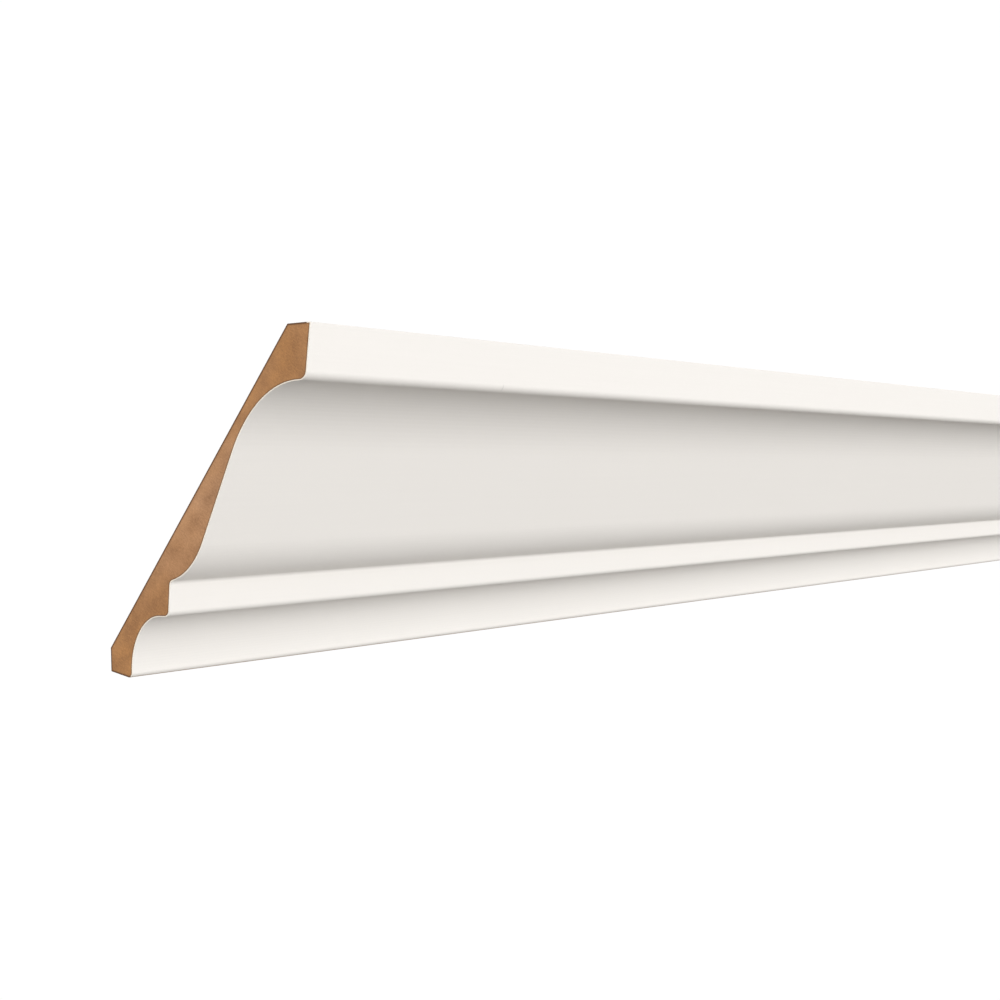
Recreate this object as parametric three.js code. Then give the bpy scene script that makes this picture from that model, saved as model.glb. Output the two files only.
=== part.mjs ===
// A length of crown moulding for the corner between a wall and a ceiling.
//
// It is one board, milled from medium-density fibreboard and primed white on the room face.
// The section is drawn as it hangs in the corner: "out" is the distance from the wall into the
// room, "up" is the height above the middle of the strip that bears on the wall. Millimetres.
// In the finished model +X runs along the moulding, the wall is on the +Y side, and +Z is up.
// The origin is the middle of the wall strip, half-way along the length.

import * as THREE from 'three';

// Driving dimensions; slopes and leans are degrees from the vertical

const LENGTH = 1000;              // cut square at both ends
const SPRING_ANGLE = 38;          // between the back of the board and the wall
const CEILING_HEIGHT = 99.9;      // the ceiling strip above the middle of the wall strip
const PROJECTION = 83.9;          // the lip's top edge out from the wall
const WALL_STRIP_HEIGHT = 7.4;

// The lip along the ceiling leans out, with an eased lower arris and a level soffit
const LIP = { lean: 7.7, soffit: 83.2, arrisRadius: 2.9 };

// The wide hollow under the lip is part of an ellipse, and runs out into a flat slope
const HOLLOW = { apexOut: 78.7, across: 31.5, down: 46.4, slope: 25.5, slopeFoot: 36.3 };

// The slope rolls under in part of a smaller ellipse
const SWELL = { across: 19.1, down: 26.1, endSlope: 75 };

// The narrow band under the swell, with a rounded root where the two meet
const BAND = { cornerOut: 25.25, lean: 5, soffit: 13.7, arrisRadius: 2, rootRadius: 1.5 };

// The small hollow at the foot is a quarter of an ellipse
const FOOT = { apexOut: 21.2, across: 12, end: -3.9 };

// The raw underside falls from the wall strip to a rounded arris under the foot
const UNDERSIDE = { slope: 77, arrisRadius: 1.5 };

// Each curve of the section becomes twice this many facets
const CURVE_SEGMENTS = 14;

const BOARD = { colour: 0xece9e4, roughness: 0.55, metalness: 0 };

const { degToRad } = THREE.MathUtils;

// How far a line that leans from the vertical moves out for each millimetre of height
const outPerUp = (lean) => Math.tan(degToRad(lean));

// The angle round an ellipse, from its level diameter, at which its side leans this much
const ellipseAngle = (shape, lean) => Math.atan2(shape.down * outPerUp(lean), shape.across);

// The eased lower arris of the lip or band, between its leaning face and its level soffit
function addArris(outline, cornerOut, face) {
  const radius = face.arrisRadius;
  const setBack = radius / Math.tan(degToRad(90 + face.lean) / 2);
  outline.absarc(cornerOut - setBack, face.soffit + radius, radius, -degToRad(face.lean), -Math.PI / 2, true);
}

// The wide hollow and its flat slope; gives the slope's foot
function addHollow(outline) {
  const turn = Math.PI / 2 - ellipseAngle(HOLLOW, HOLLOW.slope);
  const centreUp = LIP.soffit - HOLLOW.down;
  const slopeTopOut = HOLLOW.apexOut - HOLLOW.across * Math.sin(turn);
  const slopeTop = centreUp + HOLLOW.down * Math.cos(turn);
  const footOut = slopeTopOut - (slopeTop - HOLLOW.slopeFoot) * outPerUp(HOLLOW.slope);
  outline.absellipse(
    HOLLOW.apexOut, centreUp, HOLLOW.across, HOLLOW.down, Math.PI / 2, Math.PI / 2 + turn, false, 0,
  );
  outline.lineTo(footOut, HOLLOW.slopeFoot);
  return new THREE.Vector2(footOut, HOLLOW.slopeFoot);
}

// The swell, from the foot of the slope; gives the point where it ends
function addSwell(outline, foot) {
  const start = ellipseAngle(SWELL, HOLLOW.slope);
  const end = ellipseAngle(SWELL, SWELL.endSlope);
  const centreOut = foot.x - SWELL.across * Math.cos(start);
  const centreUp = foot.y + SWELL.down * Math.sin(start);
  outline.absellipse(centreOut, centreUp, SWELL.across, SWELL.down, -start, -end, true, 0);
  return new THREE.Vector2(centreOut + SWELL.across * Math.cos(end), centreUp - SWELL.down * Math.sin(end));
}

// The rounded root: the swell's end runs straight on until it meets the band's face
function addRoot(outline, swellEnd) {
  const alongSwell = new THREE.Vector2(0, -1).rotateAround(new THREE.Vector2(), -degToRad(SWELL.endSlope));
  const downBand = new THREE.Vector2(0, -1).rotateAround(new THREE.Vector2(), -degToRad(BAND.lean));
  const bandAt = (up) => BAND.cornerOut + (up - BAND.soffit) * outPerUp(BAND.lean);
  const run = (swellEnd.x - bandAt(swellEnd.y)) / (alongSwell.y * outPerUp(BAND.lean) - alongSwell.x);
  const setBack = BAND.rootRadius * Math.tan(degToRad(SWELL.endSlope - BAND.lean) / 2);
  const faceNormal = new THREE.Vector2(-downBand.y, downBand.x);
  const centre = swellEnd.clone()
    .addScaledVector(alongSwell, run)
    .addScaledVector(downBand, setBack)
    .addScaledVector(faceNormal, BAND.rootRadius);
  outline.absarc(
    centre.x, centre.y, BAND.rootRadius,
    degToRad(180 - SWELL.endSlope), degToRad(180 - BAND.lean), false,
  );
}

// The small hollow and the rounded arris at the very bottom
function addFoot(outline) {
  const down = BAND.soffit - FOOT.end;
  const radius = UNDERSIDE.arrisRadius;
  const centreOut = FOOT.apexOut - FOOT.across - radius;
  outline.absellipse(FOOT.apexOut, FOOT.end, FOOT.across, down, Math.PI / 2, Math.PI, false, 0);
  outline.absarc(centreOut, FOOT.end, radius, 0, -degToRad(180 - UNDERSIDE.slope), true);
}

// The closed section, from the back corner under the ceiling down the room face to the wall
function mouldingSection() {
  const halfStrip = WALL_STRIP_HEIGHT / 2;
  const outline = new THREE.Shape();
  outline.moveTo((CEILING_HEIGHT - halfStrip) * outPerUp(SPRING_ANGLE), CEILING_HEIGHT);
  outline.lineTo(PROJECTION, CEILING_HEIGHT);
  addArris(outline, PROJECTION - (CEILING_HEIGHT - LIP.soffit) * outPerUp(LIP.lean), LIP);
  addRoot(outline, addSwell(outline, addHollow(outline)));
  addArris(outline, BAND.cornerOut, BAND);
  addFoot(outline);
  outline.lineTo(0, -halfStrip);
  outline.lineTo(0, halfStrip);
  outline.closePath();
  return outline;
}

// The length: the section run straight and cut square at both ends
function crownMoulding() {
  const geometry = new THREE.ExtrudeGeometry(mouldingSection(), {
    depth: LENGTH,
    steps: 1,
    bevelEnabled: false,
    curveSegments: CURVE_SEGMENTS,
  });
  const material = new THREE.MeshStandardMaterial({
    color: BOARD.colour,
    roughness: BOARD.roughness,
    metalness: BOARD.metalness,
  });
  const moulding = new THREE.Mesh(geometry, material);
  moulding.name = 'crown_moulding';
  return moulding;
}

// The extrusion runs along its own Z with the section in XY, so the section's "out" is turned to
// face -Y and its "up" to +Z, and the run is centred on the origin along X
const run = new THREE.Group();
run.add(crownMoulding());
run.rotation.set(Math.PI / 2, 0, -Math.PI / 2, 'ZYX');
run.position.x = LENGTH / 2;

const object = new THREE.Group();
object.add(run);

export default object;
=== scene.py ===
import math

import bpy
from bpy.props import (
    FloatProperty,
    FloatVectorProperty,
    IntProperty,
    PointerProperty,
)
from mathutils import Matrix, Vector


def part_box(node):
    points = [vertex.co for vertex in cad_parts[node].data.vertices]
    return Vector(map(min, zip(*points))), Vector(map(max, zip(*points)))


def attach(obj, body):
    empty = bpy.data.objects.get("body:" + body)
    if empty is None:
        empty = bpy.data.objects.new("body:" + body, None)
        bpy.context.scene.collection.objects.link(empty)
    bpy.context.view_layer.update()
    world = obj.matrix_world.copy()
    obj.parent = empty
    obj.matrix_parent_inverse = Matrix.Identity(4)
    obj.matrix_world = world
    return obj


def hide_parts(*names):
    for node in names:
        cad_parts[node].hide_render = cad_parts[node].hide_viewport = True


# One length of crown moulding, milled from fibreboard and primed white on its room face.
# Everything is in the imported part's frame, in metres: +X runs along the moulding, the wall is
# on the +Y side and the ceiling above. The origin is the middle of the strip that bears on the
# wall, half-way along the length.
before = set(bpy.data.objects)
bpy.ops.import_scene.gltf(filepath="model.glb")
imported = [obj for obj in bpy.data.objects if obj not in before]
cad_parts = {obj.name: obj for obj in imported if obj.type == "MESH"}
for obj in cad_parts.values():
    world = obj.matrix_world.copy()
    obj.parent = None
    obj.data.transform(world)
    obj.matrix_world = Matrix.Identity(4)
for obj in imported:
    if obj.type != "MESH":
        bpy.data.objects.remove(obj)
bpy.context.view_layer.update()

bl_info = {
    "name": "Primed crown moulding",
    "version": (1, 0, 0),
    "blender": (4, 5, 0),
    "location": "View3D > Sidebar > Moulding",
    "description": "Builds a length of primed crown moulding and the stage that it is shown on",
    "category": "Object",
}

MM = 0.001
SAME_PLACE = 0.001 * MM    # points that lie closer than this are one point
CAD_NODE = "crown_moulding"

# The length, the ceiling's height and the lip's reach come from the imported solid
LOW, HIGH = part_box(CAD_NODE)
LENGTH = HIGH.x - LOW.x
CEILING = HIGH.z
PROJECTION = -LOW.y

# The rest of the section, as distances out from the wall and up from the middle of the wall
# strip. Leans and slopes are measured from the vertical.
SPRING_ANGLE = math.radians(38)
HALF_WALL_STRIP = 3.7 * MM

LIP_LEAN = math.radians(7.7)
LIP_SOFFIT = 83.2 * MM
LIP_ARRIS = 2.9 * MM

HOLLOW_APEX = 78.7 * MM
HOLLOW_ACROSS = 31.5 * MM
HOLLOW_DOWN = 46.4 * MM
SLOPE = math.radians(25.5)
SLOPE_FOOT = 36.3 * MM

SWELL_ACROSS = 19.1 * MM
SWELL_DOWN = 26.1 * MM
SWELL_END = math.radians(75)

BAND_CORNER = 25.25 * MM
BAND_LEAN = math.radians(5)
BAND_SOFFIT = 13.7 * MM
BAND_ARRIS = 2.0 * MM
BAND_ROOT = 1.5 * MM

FOOT_APEX = 21.2 * MM
FOOT_ACROSS = 12.0 * MM
FOOT_END = -3.9 * MM
UNDERSIDE_SLOPE = math.radians(77)
UNDERSIDE_ARRIS = 1.5 * MM

# The primer starts this far in on the ceiling strip, and ends this share of the way round the
# lowest arris
COAT_ON_STRIP = 1.5 * MM
COAT_ROUND_BOTTOM = 0.58

# Names of what the mesh holds about each point
COAT_REACH = "coat_reach"
RIM = "rim"
EDGE_SHIFT = "edge_shift"
RIM_SHIFT = "rim_shift"


class MouldingSizes(bpy.types.PropertyGroup):
    """Sizes of the moulding that a user may change"""

    length: FloatProperty(
        name="Length",
        description="From one square-cut end to the other",
        default=LENGTH,
        min=0.01,
        unit="LENGTH",
    )
    coat_thickness: FloatProperty(
        name="Primer thickness",
        description="Width of the primer's edge where the ends cut through it",
        default=0.3 * MM,
        min=0.3 * MM,
        max=1 * MM,
        precision=5,
        unit="LENGTH",
    )
    dark_rim: FloatProperty(
        name="Dark rim",
        description="Width of the darker board inside the edges of the cut ends",
        default=0.45 * MM,
        min=0.05 * MM,
        max=1 * MM,
        precision=5,
        unit="LENGTH",
    )
    raw_arris: FloatProperty(
        name="Raw arris radius",
        description="How round the board's own sharp corners are",
        default=0.3 * MM,
        min=0.05 * MM,
        max=0.3 * MM,
        precision=5,
        unit="LENGTH",
    )
    cut_arris: FloatProperty(
        name="Cut arris",
        description="How far the saw has broken the edges of the ends back",
        default=0.08 * MM,
        min=0.01 * MM,
        max=0.5 * MM,
        precision=5,
        unit="LENGTH",
    )
    curve_step: FloatProperty(
        name="Curve step",
        description="Largest turn between two points of a curve in the section",
        default=math.radians(3),
        min=math.radians(1),
        max=math.radians(30),
        subtype="ANGLE",
    )
    rings: IntProperty(
        name="Rings",
        description="How many copies of the section stand along the length",
        default=51,
        min=2,
        max=200,
    )


class MouldingFinish(bpy.types.PropertyGroup):
    """Colours of the primer and the board"""

    primer: FloatVectorProperty(
        name="Primer",
        description="The warm white coat on the room face",
        default=(0.876, 0.848, 0.812, 1.0),
        min=0.0,
        max=1.0,
        size=4,
        subtype="COLOR",
    )
    primer_cut: FloatVectorProperty(
        name="Primer's cut edge",
        description="The coat where the ends cut through it",
        default=(0.95, 0.87, 0.75, 1.0),
        min=0.0,
        max=1.0,
        size=4,
        subtype="COLOR",
    )
    board_light: FloatVectorProperty(
        name="Board, light fibres",
        description="The lightest fibres of the sawn board",
        default=(0.620, 0.304, 0.110, 1.0),
        min=0.0,
        max=1.0,
        size=4,
        subtype="COLOR",
    )
    board_core: FloatVectorProperty(
        name="Board, core fibres",
        description="The lightest fibres where the sawn board is paler and greyer, in its middle",
        default=(0.625, 0.350, 0.190, 1.0),
        min=0.0,
        max=1.0,
        size=4,
        subtype="COLOR",
    )
    board_dark: FloatVectorProperty(
        name="Board, dark fibres",
        description="The darkest fibres of the sawn board",
        default=(0.245, 0.118, 0.054, 1.0),
        min=0.0,
        max=1.0,
        size=4,
        subtype="COLOR",
    )
    sanded_light: FloatVectorProperty(
        name="Sanded face, light",
        description="The lightest fibres of the sanded back",
        default=(0.62, 0.432, 0.270, 1.0),
        min=0.0,
        max=1.0,
        size=4,
        subtype="COLOR",
    )
    sanded_dark: FloatVectorProperty(
        name="Sanded face, dark",
        description="The darkest fibres of the sanded back",
        default=(0.41, 0.266, 0.150, 1.0),
        min=0.0,
        max=1.0,
        size=4,
        subtype="COLOR",
    )


class StageSettings(bpy.types.PropertyGroup):
    """Floor, backdrop, light and lens"""

    floor_drop: FloatProperty(
        name="Floor below the origin",
        description="How far the floor lies below the wall strip",
        default=0.6,
        min=0.01,
        unit="LENGTH",
    )
    floor_colour: FloatVectorProperty(
        name="Floor",
        description="Colour of the floor as the moulding sees it",
        default=(0.265, 0.256, 0.244, 1.0),
        min=0.0,
        max=1.0,
        size=4,
        subtype="COLOR",
    )
    surround: FloatProperty(
        name="Surround",
        description="Brightness of the studio's walls as the moulding sees them",
        default=0.66,
        min=0.0,
    )
    front_power: FloatProperty(
        name="Front softboxes",
        description="The bow of softboxes above and in front of the moulding",
        default=18.0,
        min=0.0,
        unit="POWER",
    )
    low_power: FloatProperty(
        name="Low softboxes",
        description="The bow of softboxes in front of the moulding, at its own height",
        default=35.0,
        min=0.0,
        unit="POWER",
    )
    end_power: FloatProperty(
        name="End softbox",
        description="The softbox that faces the near cut end",
        default=20.0,
        min=0.0,
        unit="POWER",
    )
    lens: FloatProperty(
        name="Lens",
        description="Focal length on a 36 mm sensor",
        default=64.8,
        min=10.0,
        unit="CAMERA",
    )


# Small helpers for node trees


def place(tree, kind, inputs=None, **settings):
    """Adds a node, sets it, and gives its inputs values or links from other sockets."""
    node = tree.nodes.new(kind)
    for name, value in settings.items():
        setattr(node, name, value)
    for name, value in (inputs or {}).items():
        if isinstance(value, bpy.types.NodeSocket):
            tree.links.new(value, node.inputs[name])
        else:
            node.inputs[name].default_value = value
    return node


def reckon(tree, operation, *terms):
    """The result of a Math node."""
    return place(tree, "ShaderNodeMath", dict(enumerate(terms)), operation=operation).outputs[0]


def weighted(tree, *layers):
    """The sum of masks, from pairs of a mask and its weight."""
    total = 0.0
    for mask, weight in layers:
        total = reckon(tree, "MULTIPLY_ADD", mask, weight, total)
    return total


def dimmed(colour, share):
    """A colour brought down to this share of its brightness."""
    return [channel * share for channel in colour[:3]] + [1.0]


def blend(tree, share, first, second):
    """The colour that lies this share of the way from the first to the second."""
    node = place(tree, "ShaderNodeMix", data_type="RGBA")
    for name, value in (("Factor", share), ("A", first), ("B", second)):
        socket = next(s for s in node.inputs if s.name == name and s.enabled)
        if isinstance(value, bpy.types.NodeSocket):
            tree.links.new(value, socket)
        else:
            socket.default_value = value
    return next(s for s in node.outputs if s.enabled)


def spread(tree, value, low, high, to_low, to_high, style="LINEAR"):
    """A value in one range carried over to another, and held inside it."""
    inputs = {
        "Value": value,
        "From Min": low,
        "From Max": high,
        "To Min": to_low,
        "To Max": to_high,
    }
    return place(tree, "ShaderNodeMapRange", inputs, interpolation_type=style).outputs["Result"]


def new_group(name, kind, inputs, outputs):
    """A node group with named sockets, and its input and output nodes."""
    tree = bpy.data.node_groups.new(name, kind)
    for label, socket_type, default in inputs:
        socket = tree.interface.new_socket(label, in_out="INPUT", socket_type=socket_type)
        if default is not None:
            socket.default_value = default
    for label, socket_type in outputs:
        tree.interface.new_socket(label, in_out="OUTPUT", socket_type=socket_type)
    return tree, tree.nodes.new("NodeGroupInput").outputs, tree.nodes.new("NodeGroupOutput").inputs


def use_group(tree, group, inputs):
    """The outputs of a shader node group that is placed in a material."""
    return place(tree, "ShaderNodeGroup", inputs, node_tree=group).outputs


# The section


def ellipse_turn(across, down, lean):
    """The angle round an ellipse, from its level radius, at which its side leans this much."""
    return math.atan2(down * math.tan(lean), across)


def curve_points(centre, across, down, start, end, step):
    """Points along part of an ellipse, its two ends among them."""
    fewest = 4
    count = max(fewest, 2 * math.ceil(abs(end - start) / step / 2))
    angles = [start + (end - start) * i / count for i in range(count + 1)]
    return [centre + Vector((across * math.cos(a), down * math.sin(a))) for a in angles]


def mitre(before, corner, after, distance):
    """The point that lies this far inside both sides of a corner, and its reach along them."""
    arriving = (corner - before).normalized()
    leaving = (after - corner).normalized()
    reach = distance * math.tan(arriving.angle(leaving) / 2)
    inward = Vector((arriving.y, -arriving.x))
    return corner - arriving * reach + inward * distance, reach


def eased_corner(before, corner, after, radius, step):
    """Points round a convex corner between two straight stretches of the section."""
    arriving = corner - before
    turn = arriving.angle(after - corner)
    start = math.atan2(arriving.x, -arriving.y)
    centre, _ = mitre(before, corner, after, radius)
    return curve_points(centre, radius, radius, start, start - turn, step)


def arris_points(corner_out, lean, soffit, radius, step):
    """Points round a lower arris, between a leaning face and its level soffit."""
    set_back = radius / math.tan((math.pi / 2 + lean) / 2)
    centre = Vector((corner_out - set_back, soffit + radius))
    return curve_points(centre, radius, radius, -lean, -math.pi / 2, step)


def hollow_points(step):
    """Points down the wide hollow, and the foot of the flat slope that it runs out into."""
    turn = math.pi / 2 - ellipse_turn(HOLLOW_ACROSS, HOLLOW_DOWN, SLOPE)
    centre = Vector((HOLLOW_APEX, LIP_SOFFIT - HOLLOW_DOWN))
    points = curve_points(
        centre, HOLLOW_ACROSS, HOLLOW_DOWN, math.pi / 2, math.pi / 2 + turn, step
    )
    foot_out = points[-1].x - (points[-1].y - SLOPE_FOOT) * math.tan(SLOPE)
    return points, Vector((foot_out, SLOPE_FOOT))


def swell_points(foot, step):
    """Points round the swell, from the foot of the slope to where it rolls under."""
    start = ellipse_turn(SWELL_ACROSS, SWELL_DOWN, SLOPE)
    end = ellipse_turn(SWELL_ACROSS, SWELL_DOWN, SWELL_END)
    centre = foot - Vector((SWELL_ACROSS * math.cos(start), -SWELL_DOWN * math.sin(start)))
    return curve_points(centre, SWELL_ACROSS, SWELL_DOWN, -start, -end, step)


def root_points(swell_end, step):
    """Points round the root, where the swell's end runs straight on into the band's face."""
    along_swell = Vector((-math.sin(SWELL_END), -math.cos(SWELL_END)))
    down_band = Vector((-math.sin(BAND_LEAN), -math.cos(BAND_LEAN)))
    face_normal = Vector((-down_band.y, down_band.x))
    lean = math.tan(BAND_LEAN)
    face_out = BAND_CORNER + (swell_end.y - BAND_SOFFIT) * lean
    run = (swell_end.x - face_out) / (along_swell.y * lean - along_swell.x)
    set_back = BAND_ROOT * math.tan((SWELL_END - BAND_LEAN) / 2)
    centre = swell_end + along_swell * run + down_band * set_back + face_normal * BAND_ROOT
    return curve_points(
        centre, BAND_ROOT, BAND_ROOT, math.pi - SWELL_END, math.pi - BAND_LEAN, step
    )


def foot_points(step):
    """Points down the small hollow at the foot."""
    centre = Vector((FOOT_APEX, FOOT_END))
    down = BAND_SOFFIT - FOOT_END
    return curve_points(centre, FOOT_ACROSS, down, math.pi / 2, math.pi, step)


def bottom_arris_points(step):
    """Points round the lowest arris, between the foot hollow and the underside."""
    centre = Vector((FOOT_APEX - FOOT_ACROSS - UNDERSIDE_ARRIS, FOOT_END))
    return curve_points(
        centre, UNDERSIDE_ARRIS, UNDERSIDE_ARRIS, 0, UNDERSIDE_SLOPE - math.pi, step
    )


def section_outline(sizes):
    """The section's points, its sharp corners, and the points where the primer starts and ends.

    It goes from the back corner under the ceiling down the room face and along the wall. Each
    corner stands between the points before and after it."""
    step = sizes.curve_step
    back_top = Vector(((CEILING - HALF_WALL_STRIP) * math.tan(SPRING_ANGLE), CEILING))
    lip_top = Vector((PROJECTION, CEILING))
    lip_corner_out = PROJECTION - (CEILING - LIP_SOFFIT) * math.tan(LIP_LEAN)
    strip_foot = Vector((0, -HALF_WALL_STRIP))
    strip_top = Vector((0, HALF_WALL_STRIP))

    lip_arris = arris_points(lip_corner_out, LIP_LEAN, LIP_SOFFIT, LIP_ARRIS, step)
    hollow, slope_foot = hollow_points(step)
    swell = swell_points(slope_foot, step)
    bottom = bottom_arris_points(step)
    corners = (
        (strip_top, back_top, lip_top),
        (back_top, lip_top, lip_arris[0]),
        (bottom[-1], strip_foot, strip_top),
        (strip_foot, strip_top, back_top),
    )
    eased = [eased_corner(*corner, sizes.raw_arris, step) for corner in corners]
    coat_start = lip_top - Vector((COAT_ON_STRIP, 0))
    coat_end = bottom[round(COAT_ROUND_BOTTOM * (len(bottom) - 1))]
    stretches = [
        eased[0],
        [coat_start],
        eased[1],
        lip_arris,
        hollow,
        swell,
        root_points(swell[-1], step),
        arris_points(BAND_CORNER, BAND_LEAN, BAND_SOFFIT, BAND_ARRIS, step),
        foot_points(step),
        bottom,
        eased[2],
        eased[3],
    ]
    return close_points(stretches), corners, coat_start, coat_end


def close_points(stretches):
    """The stretches as one closed run, with a point near each end of every straight.

    Those points keep the smooth shading of the curves off the flats."""
    support = 0.15 * MM
    joined = []
    for point in (p for stretch in stretches for p in stretch):
        if not joined or (point - joined[-1]).length > SAME_PLACE:
            joined.append(point)
    closed = []
    for point, following in zip(joined, joined[1:] + joined[:1]):
        closed.append(point)
        gap = following - point
        if gap.length > 4 * support:
            closed.append(point + gap.normalized() * support)
            closed.append(following - gap.normalized() * support)
    return closed


def distances_round(points):
    """How far round the outline each point lies, and the whole way round."""
    travelled = [0.0]
    for point, following in zip(points, points[1:] + points[:1]):
        travelled.append(travelled[-1] + (following - point).length)
    return travelled[:-1], travelled[-1]


def coat_reaches(points, coat_start, coat_end):
    """How far each point lies inside the primer's edges, and below zero on bare board."""
    travelled, whole = distances_round(points)
    nearest = [min(range(len(points)), key=lambda i: (points[i] - p).length)
               for p in (coat_start, coat_end)]
    first, last = (travelled[i] for i in nearest)
    reaches = []
    for distance in travelled:
        if first <= distance <= last:
            reaches.append(min(distance - first, last - distance))
        else:
            reaches.append(-min((first - distance) % whole, (distance - last) % whole))
    return reaches


def drawn_in(points, corners, distance):
    """The outline moved inwards by an even distance, with each sharp corner brought to a point."""
    moved = []
    for i, point in enumerate(points):
        arriving = (point - points[i - 1]).normalized()
        leaving = (points[(i + 1) % len(points)] - point).normalized()
        along = (arriving + leaving).normalized()
        inward = Vector((along.y, -along.x))
        moved.append(point + inward * distance / along.dot(arriving))
    for before, corner, after in corners:
        tip, reach = mitre(before, corner, after, distance)
        moved = [tip if (p - corner).length < reach else m for p, m in zip(points, moved)]
    return moved


def section_object(sizes):
    """The section as a loop of edges. The sweep turns its X to -Y and its Y to -Z."""
    points, corners, coat_start, coat_end = section_outline(sizes)
    count = len(points)
    mesh = bpy.data.meshes.new("moulding_section")
    mesh.from_pydata(
        [(p.x, -p.y, 0) for p in points],
        [(i, (i + 1) % count) for i in range(count)],
        [],
    )
    reaches = coat_reaches(points, coat_start, coat_end)
    mesh.attributes.new(COAT_REACH, "FLOAT", "POINT").data.foreach_set("value", reaches)
    edge = drawn_in(points, corners, sizes.coat_thickness)
    rim = drawn_in(points, corners, sizes.coat_thickness + sizes.dark_rim)
    for name, outer, inner in ((EDGE_SHIFT, points, edge), (RIM_SHIFT, edge, rim)):
        shifts = [c for p, q in zip(outer, inner) for c in (0, p.x - q.x, q.y - p.y)]
        mesh.attributes.new(name, "FLOAT_VECTOR", "POINT").data.foreach_set("vector", shifts)
    section = bpy.data.objects.new("moulding_section", mesh)
    bpy.context.scene.collection.objects.link(section)
    return section


# The sweep


def named_attribute(tree, name, data_type="FLOAT"):
    """The value that the mesh holds under this name."""
    node = place(tree, "GeometryNodeInputNamedAttribute", {"Name": name}, data_type=data_type)
    return node.outputs["Attribute"]


def compare(tree, operation, value, limit):
    """Whether a value is above or below a limit."""
    inputs = {"A": value, "B": limit}
    return place(tree, "FunctionNodeCompare", inputs, operation=operation).outputs["Result"]


def end_ring(tree, geometry, faces, push, shift_name):
    """Pushes faces out and draws them in by what the section holds, which leaves a ring.

    Gives the new geometry, and which of its faces are the ring and which are inside it."""
    pushed = place(
        tree,
        "GeometryNodeExtrudeMesh",
        {"Mesh": geometry, "Selection": faces, "Offset Scale": push, "Individual": False},
    )
    drawn = place(
        tree,
        "GeometryNodeSetPosition",
        {
            "Geometry": pushed.outputs["Mesh"],
            "Selection": pushed.outputs["Top"],
            "Offset": named_attribute(tree, shift_name, "FLOAT_VECTOR"),
        },
    )
    merged = place(
        tree,
        "GeometryNodeMergeByDistance",
        {
            "Geometry": drawn.outputs["Geometry"],
            "Selection": pushed.outputs["Top"],
            "Distance": SAME_PLACE,
        },
    )
    return merged.outputs["Geometry"], pushed.outputs["Side"], pushed.outputs["Top"]


def sweep_tree():
    """Runs the section along the length, and works the two cut ends.

    Each end face gets two rings. The outer one slopes back by the cut arris and is as wide as
    the primer is thick, and the inner one is the darker rim of the board."""
    tree, given, result = new_group(
        "moulding_sweep",
        "GeometryNodeTree",
        [
            ("Section", "NodeSocketObject", None),
            ("Length", "NodeSocketFloat", 1.0),
            ("Rings", "NodeSocketInt", 2),
            ("Cut Arris", "NodeSocketFloat", 0.1 * MM),
            ("Primer", "NodeSocketMaterial", None),
            ("Primer Edge", "NodeSocketMaterial", None),
            ("Bare Board", "NodeSocketMaterial", None),
            ("Sawn End", "NodeSocketMaterial", None),
        ],
        [("Geometry", "NodeSocketGeometry")],
    )
    half_length = reckon(tree, "MULTIPLY", given["Length"], 0.5)
    half = reckon(tree, "SUBTRACT", half_length, given["Cut Arris"])
    start = place(tree, "ShaderNodeCombineXYZ", {"X": reckon(tree, "MULTIPLY", half, -1.0)})
    end = place(tree, "ShaderNodeCombineXYZ", {"X": half})
    path = place(
        tree, "GeometryNodeCurvePrimitiveLine", {"Start": start.outputs[0], "End": end.outputs[0]}
    )
    stations = place(
        tree,
        "GeometryNodeResampleCurve",
        {"Curve": path.outputs["Curve"], "Count": given["Rings"]},
    )
    section = place(tree, "GeometryNodeObjectInfo", {"Object": given["Section"]})
    loop = place(tree, "GeometryNodeMeshToCurve", {"Mesh": section.outputs["Geometry"]})
    swept = place(
        tree,
        "GeometryNodeCurveToMesh",
        {
            "Curve": stations.outputs["Curve"],
            "Profile Curve": loop.outputs["Curve"],
            "Fill Caps": True,
        },
    )
    unworked = place(
        tree,
        "GeometryNodeStoreNamedAttribute",
        {"Geometry": swept.outputs["Mesh"], "Name": RIM, "Value": 0.0},
    )

    mostly = 0.5
    facing = reckon(tree, "ABSOLUTE", along_length(tree))
    faces_end = compare(tree, "GREATER_THAN", facing, mostly)
    edged, edge, inside_edge = end_ring(
        tree, unworked.outputs["Geometry"], faces_end, given["Cut Arris"], EDGE_SHIFT
    )
    rimmed, rim, inside_rim = end_ring(tree, edged, inside_edge, 0.0, RIM_SHIFT)
    marked = place(
        tree,
        "GeometryNodeStoreNamedAttribute",
        {"Geometry": rimmed, "Selection": inside_rim, "Name": RIM, "Value": 1.0},
    )

    shaded = shade_by_angle(tree, marked.outputs["Geometry"])
    realized = place(tree, "GeometryNodeRealizeInstances", {"Geometry": shaded})
    finished = realized.outputs["Geometry"]
    coated = compare(tree, "GREATER_THAN", named_attribute(tree, COAT_REACH), 0.0)
    coated_edge = place(tree, "FunctionNodeBooleanMath", {0: edge, 1: coated}, operation="AND")
    for selection, material in (
        (True, given["Bare Board"]),
        (coated, given["Primer"]),
        (edge, given["Sawn End"]),
        (coated_edge.outputs[0], given["Primer Edge"]),
        (rim, given["Sawn End"]),
        (inside_rim, given["Sawn End"]),
    ):
        painted = place(
            tree,
            "GeometryNodeSetMaterial",
            {"Geometry": finished, "Selection": selection, "Material": material},
        )
        finished = painted.outputs["Geometry"]
    tree.links.new(finished, result["Geometry"])
    return tree


def along_length(tree):
    """How much a face looks along the moulding."""
    normal = tree.nodes.new("GeometryNodeInputNormal")
    parts = place(tree, "ShaderNodeSeparateXYZ", {"Vector": normal.outputs["Normal"]})
    return parts.outputs["X"]


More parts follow.
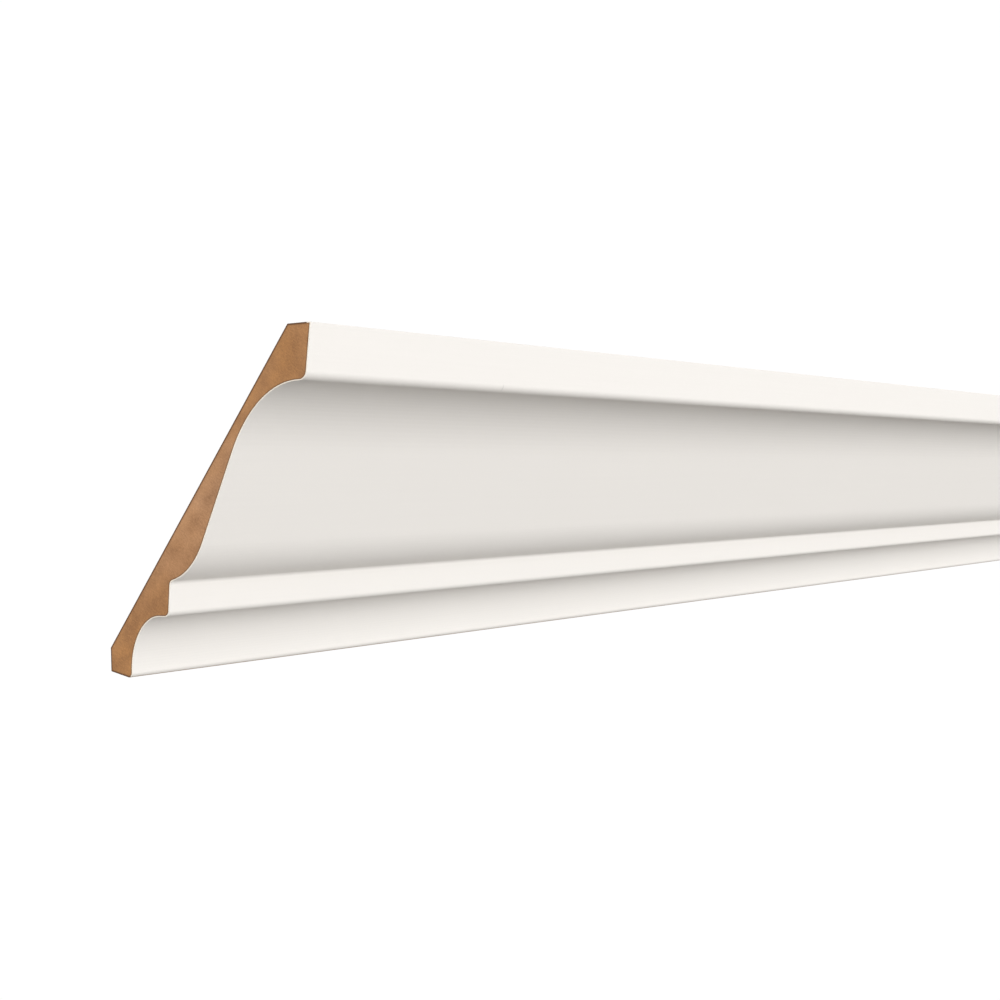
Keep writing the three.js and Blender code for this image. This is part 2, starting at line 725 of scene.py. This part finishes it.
def shade_by_angle(tree, geometry):
    """Smooth shading, broken where two faces meet at a sharp edge."""
    sharpest_smooth = math.radians(15)
    angle = tree.nodes.new("GeometryNodeInputMeshEdgeAngle").outputs["Unsigned Angle"]
    smooth = place(
        tree, "GeometryNodeSetShadeSmooth", {"Geometry": geometry, "Shade Smooth": True}
    )
    broken = place(
        tree,
        "GeometryNodeSetShadeSmooth",
        {
            "Geometry": smooth.outputs["Geometry"],
            "Selection": compare(tree, "GREATER_THAN", angle, sharpest_smooth),
            "Shade Smooth": False,
        },
        domain="EDGE",
    )
    return broken.outputs["Geometry"]


def swept_mesh(sizes, materials):
    """The sweep's result as a plain mesh."""
    section = section_object(sizes)
    tree = sweep_tree()
    sockets = {item.name: item.identifier for item in tree.interface.items_tree}
    holder = bpy.data.objects.new("moulding_holder", bpy.data.meshes.new("moulding_holder"))
    bpy.context.scene.collection.objects.link(holder)
    modifier = holder.modifiers.new("Sweep", "NODES")
    modifier.node_group = tree
    values = {
        "Section": section,
        "Length": sizes.length,
        "Rings": sizes.rings,
        "Cut Arris": sizes.cut_arris,
        **materials,
    }
    for name, value in values.items():
        modifier[sockets[name]] = value
    depsgraph = bpy.context.evaluated_depsgraph_get()
    mesh = bpy.data.meshes.new_from_object(
        holder.evaluated_get(depsgraph), preserve_all_data_layers=True, depsgraph=depsgraph
    )
    for spent in (holder, section):
        spare = spent.data
        bpy.data.objects.remove(spent)
        bpy.data.meshes.remove(spare)
    bpy.data.node_groups.remove(tree)
    return mesh


# Surface effects that more than one material uses


def fibre_group():
    """Short fibres that lie every way, with flecks and slow mottling, as in fibreboard."""
    tree, given, result = new_group(
        "fibreboard_grain",
        "ShaderNodeTree",
        [
            ("Vector", "NodeSocketVector", None),
            ("Fibre Size", "NodeSocketFloat", 0.4 * MM),
            ("Mottle Size", "NodeSocketFloat", 7 * MM),
        ],
        [("Fibres", "NodeSocketFloat"), ("Mottle", "NodeSocketFloat")],
    )
    fineness = reckon(tree, "DIVIDE", 1.0, given["Fibre Size"])
    slimness = 0.22
    directions = [Vector((turn, turn * 1.7, turn * 0.6)) for turn in (0.4, 1.5, 2.6)]
    total = 0.0
    for direction in directions:
        turned = place(
            tree, "ShaderNodeMapping", {"Vector": given["Vector"], "Rotation": direction}
        )
        drawn_out = place(
            tree,
            "ShaderNodeVectorMath",
            {0: turned.outputs["Vector"], 1: (slimness, 1.0, 1.0)},
            operation="MULTIPLY",
        )
        noise = place(
            tree,
            "ShaderNodeTexNoise",
            {
                "Vector": drawn_out.outputs["Vector"],
                "Scale": fineness,
                "Detail": 3.0,
                "Roughness": 0.6,
            },
        )
        total = reckon(tree, "ADD", total, noise.outputs["Fac"])
    fibres = spread(tree, total, 1.1, 1.9, 0.0, 1.0)
    mottle = place(
        tree,
        "ShaderNodeTexNoise",
        {
            "Vector": given["Vector"],
            "Scale": reckon(tree, "DIVIDE", 1.0, given["Mottle Size"]),
            "Detail": 3.0,
        },
    )
    tree.links.new(fibres, result["Fibres"])
    tree.links.new(spread(tree, mottle.outputs["Fac"], 0.3, 0.7, 0.0, 1.0), result["Mottle"])
    return tree


def streak_group():
    """Fine marks that run along the moulding, as sanding and milling leave them."""
    tree, given, result = new_group(
        "lengthwise_marks",
        "ShaderNodeTree",
        [
            ("Vector", "NodeSocketVector", None),
            ("Spacing", "NodeSocketFloat", 0.5 * MM),
            ("Run", "NodeSocketFloat", 80 * MM),
        ],
        [("Marks", "NodeSocketFloat")],
    )
    across = reckon(tree, "DIVIDE", 1.0, given["Spacing"])
    along = reckon(tree, "DIVIDE", 1.0, given["Run"])
    stretch = place(tree, "ShaderNodeCombineXYZ", {"X": along, "Y": across, "Z": across})
    stretched = place(
        tree,
        "ShaderNodeVectorMath",
        {0: given["Vector"], 1: stretch.outputs["Vector"]},
        operation="MULTIPLY",
    )
    noise = place(
        tree,
        "ShaderNodeTexNoise",
        {"Vector": stretched.outputs["Vector"], "Scale": 1.0, "Detail": 2.0},
    )
    tree.links.new(spread(tree, noise.outputs["Fac"], 0.25, 0.75, 0.0, 1.0), result["Marks"])
    return tree


def coat_edge_group():
    """A mask that is full at the primer's edge and fades out unevenly on one side of it."""
    tree, given, result = new_group(
        "coat_edge",
        "ShaderNodeTree",
        [
            ("Vector", "NodeSocketVector", None),
            ("Distance", "NodeSocketFloat", 0.0),
            ("Fade", "NodeSocketFloat", 1 * MM),
            ("Raggedness", "NodeSocketFloat", 0.3 * MM),
        ],
        [("Mask", "NodeSocketFloat")],
    )
    bay_width = 3 * MM
    noise = place(
        tree,
        "ShaderNodeTexNoise",
        {"Vector": given["Vector"], "Scale": 1 / bay_width, "Detail": 5.0, "Roughness": 0.65},
    )
    centred = reckon(tree, "SUBTRACT", noise.outputs["Fac"], 0.5)
    uneven = reckon(tree, "MULTIPLY", centred, given["Raggedness"])
    distance = reckon(tree, "ADD", given["Distance"], uneven)
    mask = spread(tree, distance, 0.0, given["Fade"], 1.0, 0.0, style="SMOOTHSTEP")
    tree.links.new(mask, result["Mask"])
    return tree


# Materials


def new_material(name):
    """An empty material with a Principled surface, and the object's own coordinates."""
    material = bpy.data.materials.new(name)
    material.use_nodes = True
    tree = material.node_tree
    tree.nodes.clear()
    surface = tree.nodes.new("ShaderNodeBsdfPrincipled")
    output = tree.nodes.new("ShaderNodeOutputMaterial")
    tree.links.new(surface.outputs["BSDF"], output.inputs["Surface"])
    coordinates = tree.nodes.new("ShaderNodeTexCoord").outputs["Object"]
    return material, tree, surface, coordinates


def mesh_value(tree, name):
    """What the mesh holds under this name, for a material."""
    return place(tree, "ShaderNodeAttribute", attribute_name=name).outputs["Fac"]


def relief(tree, surface, layers):
    """Bumps laid over each other, from pairs of a height from 0 to 1 and its depth in metres."""
    normal = None
    for height, depth in layers:
        bump = place(tree, "ShaderNodeBump", {"Height": height, "Distance": depth, "Strength": 1.0})
        if normal:
            tree.links.new(normal, bump.inputs["Normal"])
        normal = bump.outputs["Normal"]
    tree.links.new(normal, surface.inputs["Normal"])


def cloud(tree, coordinates, size, detail=2.0):
    """Plain noise whose lumps are about this big."""
    inputs = {"Vector": coordinates, "Scale": 1 / size, "Detail": detail}
    return place(tree, "ShaderNodeTexNoise", inputs).outputs["Fac"]


def fleck(tree, coordinates, centre, reach):
    """A mask for one small mark, full at its centre and gone at its reach along each axis."""
    offset = place(tree, "ShaderNodeVectorMath", {0: coordinates, 1: centre}, operation="SUBTRACT")
    scaled = place(
        tree,
        "ShaderNodeVectorMath",
        {0: offset.outputs["Vector"], 1: [1 / r for r in reach]},
        operation="MULTIPLY",
    )
    distance = place(
        tree, "ShaderNodeVectorMath", {0: scaled.outputs["Vector"]}, operation="LENGTH"
    )
    return spread(tree, distance.outputs["Value"], 0.5, 1.0, 1.0, 0.0, style="SMOOTHSTEP")


def primer_material(finish, fibres, streaks, coat_edge):
    """Satin white primer, with the faint texture of the roller and the milled board under it."""
    material, tree, surface, here = new_material("primer")
    reach = mesh_value(tree, COAT_REACH)
    marks = use_group(tree, streaks, {"Vector": here, "Spacing": 0.7 * MM, "Run": 90 * MM})["Marks"]
    drift = cloud(tree, here, 60 * MM)
    peel = cloud(tree, here, 1.6 * MM)
    nap = cloud(tree, here, 0.35 * MM)
    thin = use_group(
        tree,
        coat_edge,
        {"Vector": here, "Distance": reach, "Fade": 0.35 * MM, "Raggedness": 0.3 * MM},
    )["Mask"]

    tone = weighted(tree, (drift, 0.65), (marks, 0.35))
    coat = blend(tree, tone, finish.primer, dimmed(finish.primer, 0.975))
    board = use_group(tree, fibres, {"Vector": here, "Fibre Size": 0.3 * MM, "Mottle Size": 9 * MM})
    wood = blend(tree, board["Fibres"], finish.sanded_dark, finish.sanded_light)
    colour = blend(tree, weighted(tree, (thin, 0.8)), coat, wood)

    # A small darker spot painted into the primer's colour on the lip's face near its lower edge, 104
    # mm from the near end
    dark_spot_at = (LOW.x + 104 * MM, -81.4 * MM, 84.6 * MM)
    dark_spot_reach = (0.4 * MM, 1.6 * MM, 1.9 * MM)
    dark_spot = fleck(tree, here, dark_spot_at, dark_spot_reach)
    colour = blend(tree, weighted(tree, (dark_spot, 0.8)), colour, dimmed(finish.primer, 0.8))

    tree.links.new(colour, surface.inputs["Base Color"])
    tree.links.new(spread(tree, peel, 0.3, 0.7, 0.56, 0.64), surface.inputs["Roughness"])
    surface.inputs["Specular IOR Level"].default_value = 0.2
    relief(tree, surface, [(peel, 0.006 * MM), (marks, 0.004 * MM), (nap, 0.002 * MM)])
    return material


def primer_edge_material(finish):
    """The coat's own thickness, where the saw cut through it at the ends."""
    material, tree, surface, here = new_material("primer_edge")
    grain = cloud(tree, here, 0.5 * MM, detail=4.0)
    colour = blend(tree, grain, finish.primer_cut, dimmed(finish.primer_cut, 0.9))
    tree.links.new(colour, surface.inputs["Base Color"])
    surface.inputs["Roughness"].default_value = 0.7
    relief(tree, surface, [(grain, 0.02 * MM)])
    return material


def saw_arcs(tree, coordinates):
    """The arcs that a round saw leaves on a cut end, about its own centre."""
    saw_centre = (0, 0.09, 0.16)
    wave_turn = 20          # radians that a wave texture turns in one unit of its own scale
    arc_turn = 1.1 * MM     # how far out the wave gets while it turns one radian
    from_saw = place(
        tree, "ShaderNodeVectorMath", {0: coordinates, 1: saw_centre}, operation="SUBTRACT"
    )
    flat = place(
        tree,
        "ShaderNodeVectorMath",
        {0: from_saw.outputs["Vector"], 1: (0, 1, 1)},
        operation="MULTIPLY",
    )
    arcs = place(
        tree,
        "ShaderNodeTexWave",
        {
            "Vector": flat.outputs["Vector"],
            "Scale": 1 / (wave_turn * arc_turn),
            "Distortion": 1.5,
            "Detail": 2.0,
            "Detail Scale": 2.0,
        },
        wave_type="RINGS",
        rings_direction="X",
    )
    return arcs.outputs["Fac"]


def sawn_material(finish, fibres):
    """The cut end: brown fibreboard with mottling, the saw's shallow arcs and a dark rim."""
    material, tree, surface, here = new_material("sawn_end")
    board = use_group(tree, fibres, {"Vector": here, "Fibre Size": 0.35 * MM, "Mottle Size": 8 * MM})
    arcs = saw_arcs(tree, here)

    middle_height = 48 * MM
    height = place(tree, "ShaderNodeSeparateXYZ", {"Vector": here}).outputs["Z"]
    from_middle = reckon(tree, "ABSOLUTE", reckon(tree, "SUBTRACT", height, middle_height))
    central = spread(tree, from_middle, 8 * MM, 34 * MM, 1.0, 0.0)
    drift = spread(tree, cloud(tree, here, 18 * MM), 0.35, 0.65, 0.0, 1.0)
    core = weighted(tree, (central, 0.65), (drift, 0.35))
    light = blend(tree, core, finish.board_light, finish.board_core)

    tone = weighted(
        tree, (board["Fibres"], 0.4), (board["Mottle"], 0.38), (arcs, 0.1), (central, 0.12)
    )
    wood = blend(tree, tone, finish.board_dark, light)
    burnt = dimmed(finish.board_dark, 0.55)
    colour = blend(tree, mesh_value(tree, RIM), burnt, wood)
    tree.links.new(colour, surface.inputs["Base Color"])
    surface.inputs["Roughness"].default_value = 0.85
    surface.inputs["Specular IOR Level"].default_value = 0.25
    relief(tree, surface, [(arcs, 0.02 * MM), (board["Fibres"], 0.05 * MM)])
    return material


def bare_material(finish, fibres, streaks, coat_edge):
    """The sanded back and bearing edges, with dark flecks, and primer mist beside the coat."""
    material, tree, surface, here = new_material("bare_board")
    board = use_group(tree, fibres, {"Vector": here, "Fibre Size": 0.3 * MM, "Mottle Size": 14 * MM})
    marks = use_group(tree, streaks, {"Vector": here, "Spacing": 0.4 * MM, "Run": 60 * MM})["Marks"]
    bands = use_group(tree, streaks, {"Vector": here, "Spacing": 4 * MM, "Run": 400 * MM})["Marks"]
    bark = spread(tree, cloud(tree, here, 1.3 * MM, detail=1.0), 0.66, 0.74, 0.0, 1.0)
    beyond = reckon(tree, "MULTIPLY", mesh_value(tree, COAT_REACH), -1.0)
    mist = use_group(
        tree,
        coat_edge,
        {"Vector": here, "Distance": beyond, "Fade": 2.5 * MM, "Raggedness": 3 * MM},
    )["Mask"]

    tone = weighted(
        tree, (board["Fibres"], 0.4), (board["Mottle"], 0.25), (marks, 0.15), (bands, 0.2)
    )
    wood = blend(tree, tone, finish.sanded_dark, finish.sanded_light)
    wood = blend(tree, weighted(tree, (bark, 0.6)), wood, finish.board_dark)
    colour = blend(tree, weighted(tree, (mist, 0.35)), wood, finish.primer)
    tree.links.new(colour, surface.inputs["Base Color"])
    tree.links.new(spread(tree, tone, 0.2, 0.8, 0.72, 0.62), surface.inputs["Roughness"])
    surface.inputs["Specular IOR Level"].default_value = 0.3
    relief(tree, surface, [(marks, 0.006 * MM), (board["Fibres"], 0.01 * MM)])
    return material


def moulding_materials(finish):
    """Every material of the moulding, under the name of the sweep's socket that takes it."""
    fibres = fibre_group()
    streaks = streak_group()
    coat_edge = coat_edge_group()
    return {
        "Primer": primer_material(finish, fibres, streaks, coat_edge),
        "Primer Edge": primer_edge_material(finish),
        "Bare Board": bare_material(finish, fibres, streaks, coat_edge),
        "Sawn End": sawn_material(finish, fibres),
    }


# The stage

EVEN = (1.0, 1.0, 1.0, 1.0)
PLAIN_WHITE = 1.02    # as strong as the camera needs to see plain white


def mix_shaders(tree, share, first, second):
    """The surface that lies this share of the way from the first to the second."""
    return place(tree, "ShaderNodeMixShader", {0: share, 1: first, 2: second}).outputs["Shader"]


def stage_white(tree, lit, white):
    """What the camera sees of the floor or backdrop is plain white; the rest is as lit."""
    ray = tree.nodes.new("ShaderNodeLightPath")
    return mix_shaders(tree, ray.outputs["Is Camera Ray"], lit, white)


def make_floor(settings):
    """A plain floor, wide enough to reach past every view, and clear from below."""
    reach = 15.0
    corners = [(x * reach, y * reach, -settings.floor_drop)
               for x, y in ((-1, -1), (1, -1), (1, 1), (-1, 1))]
    mesh = bpy.data.meshes.new("floor")
    mesh.from_pydata(corners, [], [(0, 1, 2, 3)])
    floor = bpy.data.objects.new("floor", mesh)
    bpy.context.scene.collection.objects.link(floor)
    material = bpy.data.materials.new("floor")
    material.use_nodes = True
    tree = material.node_tree
    tree.nodes.clear()
    output = tree.nodes.new("ShaderNodeOutputMaterial")
    lit = place(tree, "ShaderNodeBsdfDiffuse", {"Color": settings.floor_colour})
    white = place(tree, "ShaderNodeEmission", {"Color": EVEN, "Strength": PLAIN_WHITE})
    top = stage_white(tree, lit.outputs["BSDF"], white.outputs["Emission"])
    from_below = tree.nodes.new("ShaderNodeNewGeometry").outputs["Backfacing"]
    clear = tree.nodes.new("ShaderNodeBsdfTransparent").outputs["BSDF"]
    tree.links.new(mix_shaders(tree, from_below, top, clear), output.inputs["Surface"])
    mesh.materials.append(material)


def make_backdrop(settings):
    """White all round for the camera, and a soft even glow for the moulding."""
    world = bpy.data.worlds.new("backdrop")
    world.use_nodes = True
    tree = world.node_tree
    tree.nodes.clear()
    output = tree.nodes.new("ShaderNodeOutputWorld")
    glow = place(tree, "ShaderNodeBackground", {"Color": EVEN, "Strength": settings.surround})
    white = place(tree, "ShaderNodeBackground", {"Color": EVEN, "Strength": PLAIN_WHITE})
    mixed = stage_white(tree, glow.outputs["Background"], white.outputs["Background"])
    tree.links.new(mixed, output.inputs["Surface"])
    bpy.context.scene.world = world


def make_softbox(name, power, azimuth, elevation, size):
    """A wide lamp turned to the moulding's near end, with its two angles in degrees.

    Azimuth 0 is straight out into the room, and -90 straight out past the near end."""
    lit_point = Vector((-0.4, -0.04, 0.05))
    distance = 2.5
    turn = math.radians(azimuth)
    rise = math.radians(elevation)
    level = math.cos(rise)
    towards = Vector((math.sin(turn) * level, -math.cos(turn) * level, math.sin(rise)))
    light = bpy.data.lights.new(name, "AREA")
    light.shape = "RECTANGLE"
    light.size, light.size_y = size
    light.energy = power
    lamp = bpy.data.objects.new(name, light)
    facing = towards.to_track_quat("Z", "Y").to_matrix().to_4x4()
    lamp.matrix_world = Matrix.Translation(lit_point + towards * distance) @ facing
    lamp.visible_camera = False
    bpy.context.scene.collection.objects.link(lamp)


def make_bow(name, power, elevation, height):
    """Softboxes side by side, in a bow round the room side of the moulding."""
    width = 1.7
    azimuths = {"left": -40, "middle": 5, "right": 45}
    share = power / len(azimuths)
    for side, azimuth in azimuths.items():
        make_softbox(f"{name}_{side}", share, azimuth, elevation, (width, height))


def make_camera(settings):
    """The photograph's view: from the room, past the near cut end, level with the hollow."""
    stand = Vector((-0.9045, -0.4136, 0.0474))
    azimuth = math.radians(33.32)
    elevation = math.radians(-0.045)
    roll = math.radians(-1.462)
    ahead = Vector((
        math.cos(elevation) * math.cos(azimuth),
        math.cos(elevation) * math.sin(azimuth),
        math.sin(elevation),
    ))
    lens = bpy.data.cameras.new("camera")
    lens.lens = settings.lens
    lens.sensor_width = 36.0
    lens.clip_start = 0.01
    lens.clip_end = 60.0
    camera = bpy.data.objects.new("camera", lens)
    level = ahead.to_track_quat("-Z", "Y").to_matrix()
    turned = level @ Matrix.Rotation(roll, 3, "Z")
    camera.matrix_world = Matrix.Translation(stand) @ turned.to_4x4()
    bpy.context.scene.collection.objects.link(camera)
    bpy.context.scene.camera = camera


class MOULDING_OT_make_moulding(bpy.types.Operator):
    """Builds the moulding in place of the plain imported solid"""

    bl_idname = "moulding.make_moulding"
    bl_label = "Make moulding"

    def execute(self, context):
        sizes = context.scene.moulding_sizes
        finish = context.scene.moulding_finish
        mesh = swept_mesh(sizes, moulding_materials(finish))
        mesh.name = "moulding"
        if not mesh.polygons:
            raise RuntimeError("the sweep gave no faces")
        moulding = bpy.data.objects.new("moulding", mesh)
        context.scene.collection.objects.link(moulding)
        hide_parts(CAD_NODE)
        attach(moulding, "root")
        return {"FINISHED"}


class MOULDING_OT_make_stage(bpy.types.Operator):
    """Sets the floor, the backdrop, the soft light and the camera"""

    bl_idname = "moulding.make_stage"
    bl_label = "Make stage"

    def execute(self, context):
        settings = context.scene.moulding_stage
        make_floor(settings)
        make_backdrop(settings)
        make_bow("front_softbox", settings.front_power, elevation=17, height=0.9)
        make_bow("low_softbox", settings.low_power, elevation=-3, height=0.9)
        make_softbox(
            "end_softbox", settings.end_power, azimuth=-104, elevation=0, size=(1.4, 1.1)
        )
        make_camera(settings)
        context.scene.view_settings.view_transform = "Standard"
        return {"FINISHED"}


class MOULDING_PT_sidebar(bpy.types.Panel):
    """Lists the steps and what a user may change"""

    bl_idname = "MOULDING_PT_sidebar"
    bl_label = "Crown moulding"
    bl_space_type = "VIEW_3D"
    bl_region_type = "UI"
    bl_category = "Moulding"

    def draw(self, context):
        scene = context.scene
        for operator in (MOULDING_OT_make_moulding, MOULDING_OT_make_stage):
            self.layout.operator(operator.bl_idname)
        for settings in (scene.moulding_sizes, scene.moulding_finish, scene.moulding_stage):
            box = self.layout.box()
            for name in settings.__annotations__:
                box.prop(settings, name)


CLASSES = (
    MouldingSizes,
    MouldingFinish,
    StageSettings,
    MOULDING_OT_make_moulding,
    MOULDING_OT_make_stage,
    MOULDING_PT_sidebar,
)


def register():
    for made in CLASSES:
        bpy.utils.register_class(made)
    bpy.types.Scene.moulding_sizes = PointerProperty(type=MouldingSizes)
    bpy.types.Scene.moulding_finish = PointerProperty(type=MouldingFinish)
    bpy.types.Scene.moulding_stage = PointerProperty(type=StageSettings)


def unregister():
    del bpy.types.Scene.moulding_stage
    del bpy.types.Scene.moulding_finish
    del bpy.types.Scene.moulding_sizes
    for made in reversed(CLASSES):
        bpy.utils.unregister_class(made)


def main():
    register()
    bpy.ops.moulding.make_moulding()
    bpy.ops.moulding.make_stage()


if __name__ == "__main__":
    main()
